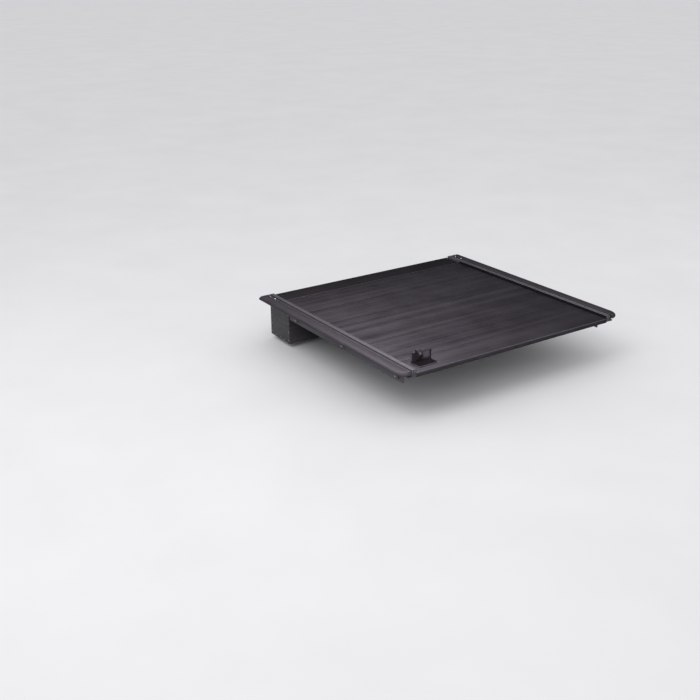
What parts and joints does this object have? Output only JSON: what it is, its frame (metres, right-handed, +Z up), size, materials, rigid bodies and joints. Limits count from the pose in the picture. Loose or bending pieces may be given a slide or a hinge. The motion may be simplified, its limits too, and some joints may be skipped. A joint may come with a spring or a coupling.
{
  "type": "tonneau cover",
  "caption": "Retractable slatted tonneau cover for a pickup bed: clamp-on side rails, front canister, sliding slats and a rear bar with a flip-up locking latch.",
  "frame": {"origin": "on the centreline, on the canister's front face, level with the rails' seats on the bed sides", "axes": "+X to the truck's right, +Y forward towards the cab, +Z up"},
  "size_m": [1.612, 1.507, 0.3421],
  "materials": {
    "slat_coating": "matte textured coating",
    "bar_aluminium": "matte textured coating",
    "lid_aluminium": "matte textured coating",
    "rail_aluminium": "satin powder coat",
    "trim_plastic": "grained",
    "end_cap_plastic": "fine grain",
    "track_plastic": "smooth",
    "canister_sheet": "satin powder coat",
    "seal_rubber": "matte",
    "latch_plastic": "fine grain, slightly glossy",
    "latch_steel": "zinc plated",
    "clamp_aluminium": "cast, bead blasted",
    "clamp_steel": "zinc plated"
  },
  "bodies": {
    "frame": {"left_side_rail": "rail_aluminium", "left_rail_end_cap": "end_cap_plastic", "left_rail_seal": "seal_rubber", "left_side_trim": "trim_plastic", "left_clamp_leg": "rail_aluminium", "left_canister_end": "canister_sheet", "left_spiral_track": "track_plastic", "left_drain_spout": "track_plastic", "right_side_rail": "rail_aluminium", "right_rail_end_cap": "end_cap_plastic", "right_rail_seal": "seal_rubber", "right_side_trim": "trim_plastic", "right_clamp_leg": "rail_aluminium", "right_canister_end": "canister_sheet", "right_spiral_track": "track_plastic", "right_drain_spout": "track_plastic", "canister_tub": "canister_sheet", "canister_lid": "lid_aluminium", "lid_wiper_seal": "seal_rubber", "bulkhead_seal": "seal_rubber"},
    "rear_bar": {"rear_bar": "bar_aluminium", "tailgate_seal": "seal_rubber", "latch_bezel": "latch_plastic", "paddle_hinge_pin": "latch_steel"},
    "paddle": {"latch_paddle": "latch_plastic", "lock_housing": "latch_plastic"},
    "lock_cylinder": {"lock_cylinder": "latch_steel"},
    "left_lock_bolt": {"left_lock_bolt": "latch_steel", "left_push_rod": "latch_steel"},
    "right_lock_bolt": {"right_lock_bolt": "latch_steel", "right_push_rod": "latch_steel"},
    "slat_01": {"slat_01": "slat_coating"},
    "slat_02": {"slat_02": "slat_coating"},
    "slat_03": {"slat_03": "slat_coating"},
    "slat_04": {"slat_04": "slat_coating"},
    "slat_05": {"slat_05": "slat_coating"},
    "slat_06": {"slat_06": "slat_coating"},
    "slat_07": {"slat_07": "slat_coating"},
    "slat_08": {"slat_08": "slat_coating"},
    "slat_09": {"slat_09": "slat_coating"},
    "slat_10": {"slat_10": "slat_coating"},
    "slat_11": {"slat_11": "slat_coating"},
    "slat_12": {"slat_12": "slat_coating"},
    "slat_13": {"slat_13": "slat_coating"},
    "slat_14": {"slat_14": "slat_coating"},
    "slat_15": {"slat_15": "slat_coating"},
    "left_clamp_front": {"left_clamp_jaw_front": "clamp_aluminium", "left_clamp_bolt_front": "clamp_steel"},
    "left_clamp_middle": {"left_clamp_jaw_middle": "clamp_aluminium", "left_clamp_bolt_middle": "clamp_steel"},
    "left_clamp_rear": {"left_clamp_jaw_rear": "clamp_aluminium", "left_clamp_bolt_rear": "clamp_steel"},
    "right_clamp_front": {"right_clamp_jaw_front": "clamp_aluminium", "right_clamp_bolt_front": "clamp_steel"},
    "right_clamp_middle": {"right_clamp_jaw_middle": "clamp_aluminium", "right_clamp_bolt_middle": "clamp_steel"},
    "right_clamp_rear": {"right_clamp_jaw_rear": "clamp_aluminium", "right_clamp_bolt_rear": "clamp_steel"}
  },
  "joints": [
    {"name": "cover_slide", "type": "slide", "parent": "frame", "child": "rear_bar", "axis": [0, 1, 0], "range_m": [0, 1.183], "deforming": ["slat_01", "slat_02", "slat_03", "slat_04", "slat_05", "slat_06", "slat_07", "slat_08", "slat_09", "slat_10", "slat_11", "slat_12", "slat_13", "slat_14", "slat_15"]},
    {"name": "latch_paddle_hinge", "type": "hinge", "parent": "rear_bar", "child": "paddle", "pos_m": [-0.578, -1.369, 0.0258], "axis": [1, 0, 0], "range_deg": [0, 90]},
    {"name": "lock_key_turn", "type": "hinge", "parent": "paddle", "child": "lock_cylinder", "pos_m": [-0.607, -1.387, 0.075], "axis": [0, 1, 0], "range_deg": [0, 90]},
    {"name": "left_lock_bolt_slide", "type": "slide", "parent": "rear_bar", "child": "left_lock_bolt", "axis": [-1, 0, 0], "range_m": [0, 0.0121]},
    {"name": "right_lock_bolt_slide", "type": "slide", "parent": "rear_bar", "child": "right_lock_bolt", "axis": [1, 0, 0], "range_m": [0, 0.0121]},
    {"name": "slat_01_slide", "type": "slide", "parent": "frame", "child": "slat_01", "axis": [0, 1, 0], "range_m": [0, 0.1265]},
    {"name": "slat_02_slide", "type": "slide", "parent": "frame", "child": "slat_02", "axis": [0, 1, 0], "range_m": [0, 0.1975]},
    {"name": "slat_03_slide", "type": "slide", "parent": "frame", "child": "slat_03", "axis": [0, 1, 0], "range_m": [0, 0.2685]},
    {"name": "slat_04_slide", "type": "slide", "parent": "frame", "child": "slat_04", "axis": [0, 1, 0], "range_m": [0, 0.3395]},
    {"name": "slat_05_slide", "type": "slide", "parent": "frame", "child": "slat_05", "axis": [0, 1, 0], "range_m": [0, 0.4105]},
    {"name": "slat_06_slide", "type": "slide", "parent": "frame", "child": "slat_06", "axis": [0, 1, 0], "range_m": [0, 0.4815]},
    {"name": "slat_07_slide", "type": "slide", "parent": "frame", "child": "slat_07", "axis": [0, 1, 0], "range_m": [0, 0.5526]},
    {"name": "slat_08_slide", "type": "slide", "parent": "frame", "child": "slat_08", "axis": [0, 1, 0], "range_m": [0, 0.6236]},
    {"name": "slat_09_slide", "type": "slide", "parent": "frame", "child": "slat_09", "axis": [0, 1, 0], "range_m": [0, 0.6946]},
    {"name": "slat_10_slide", "type": "slide", "parent": "frame", "child": "slat_10", "axis": [0, 1, 0], "range_m": [0, 0.7656]},
    {"name": "slat_11_slide", "type": "slide", "parent": "frame", "child": "slat_11", "axis": [0, 1, 0], "range_m": [0, 0.8366]},
    {"name": "slat_12_slide", "type": "slide", "parent": "frame", "child": "slat_12", "axis": [0, 1, 0], "range_m": [0, 0.9076]},
    {"name": "slat_13_slide", "type": "slide", "parent": "frame", "child": "slat_13", "axis": [0, 1, 0], "range_m": [0, 0.9786]},
    {"name": "slat_14_slide", "type": "slide", "parent": "frame", "child": "slat_14", "axis": [0, 1, 0], "range_m": [0, 1.0496]},
    {"name": "slat_15_slide", "type": "slide", "parent": "frame", "child": "slat_15", "axis": [0, 1, 0], "range_m": [0, 1.1206]},
    {"name": "left_front_clamp_slide", "type": "slide", "parent": "frame", "child": "left_clamp_front", "axis": [0, 0, 1], "range_m": [-0.014, 0.008]},
    {"name": "left_middle_clamp_slide", "type": "slide", "parent": "frame", "child": "left_clamp_middle", "axis": [0, 0, 1], "range_m": [-0.014, 0.008]},
    {"name": "left_rear_clamp_slide", "type": "slide", "parent": "frame", "child": "left_clamp_rear", "axis": [0, 0, 1], "range_m": [-0.014, 0.008]},
    {"name": "right_front_clamp_slide", "type": "slide", "parent": "frame", "child": "right_clamp_front", "axis": [0, 0, 1], "range_m": [-0.014, 0.008]},
    {"name": "right_middle_clamp_slide", "type": "slide", "parent": "frame", "child": "right_clamp_middle", "axis": [0, 0, 1], "range_m": [-0.014, 0.008]},
    {"name": "right_rear_clamp_slide", "type": "slide", "parent": "frame", "child": "right_clamp_rear", "axis": [0, 0, 1], "range_m": [-0.014, 0.008]}
  ],
  "couplings": [
    {"joint": "left_lock_bolt_slide", "follows": "latch_paddle_hinge", "m_per_rad": 0.0076394},
    {"joint": "right_lock_bolt_slide", "follows": "latch_paddle_hinge", "m_per_rad": 0.0076394},
    {"joint": "slat_01_slide", "follows": "cover_slide", "ratio": 0.10651},
    {"joint": "slat_02_slide", "follows": "cover_slide", "ratio": 0.16653},
    {"joint": "slat_03_slide", "follows": "cover_slide", "ratio": 0.22656},
    {"joint": "slat_04_slide", "follows": "cover_slide", "ratio": 0.28658},
    {"joint": "slat_05_slide", "follows": "cover_slide", "ratio": 0.34661},
    {"joint": "slat_06_slide", "follows": "cover_slide", "ratio": 0.40664},
    {"joint": "slat_07_slide", "follows": "cover_slide", "ratio": 0.46666},
    {"joint": "slat_08_slide", "follows": "cover_slide", "ratio": 0.52669},
    {"joint": "slat_09_slide", "follows": "cover_slide", "ratio": 0.58671},
    {"joint": "slat_10_slide", "follows": "cover_slide", "ratio": 0.64674},
    {"joint": "slat_11_slide", "follows": "cover_slide", "ratio": 0.70676},
    {"joint": "slat_12_slide", "follows": "cover_slide", "ratio": 0.76679},
    {"joint": "slat_13_slide", "follows": "cover_slide", "ratio": 0.82681},
    {"joint": "slat_14_slide", "follows": "cover_slide", "ratio": 0.88684},
    {"joint": "slat_15_slide", "follows": "cover_slide", "ratio": 0.94686}
  ]
}
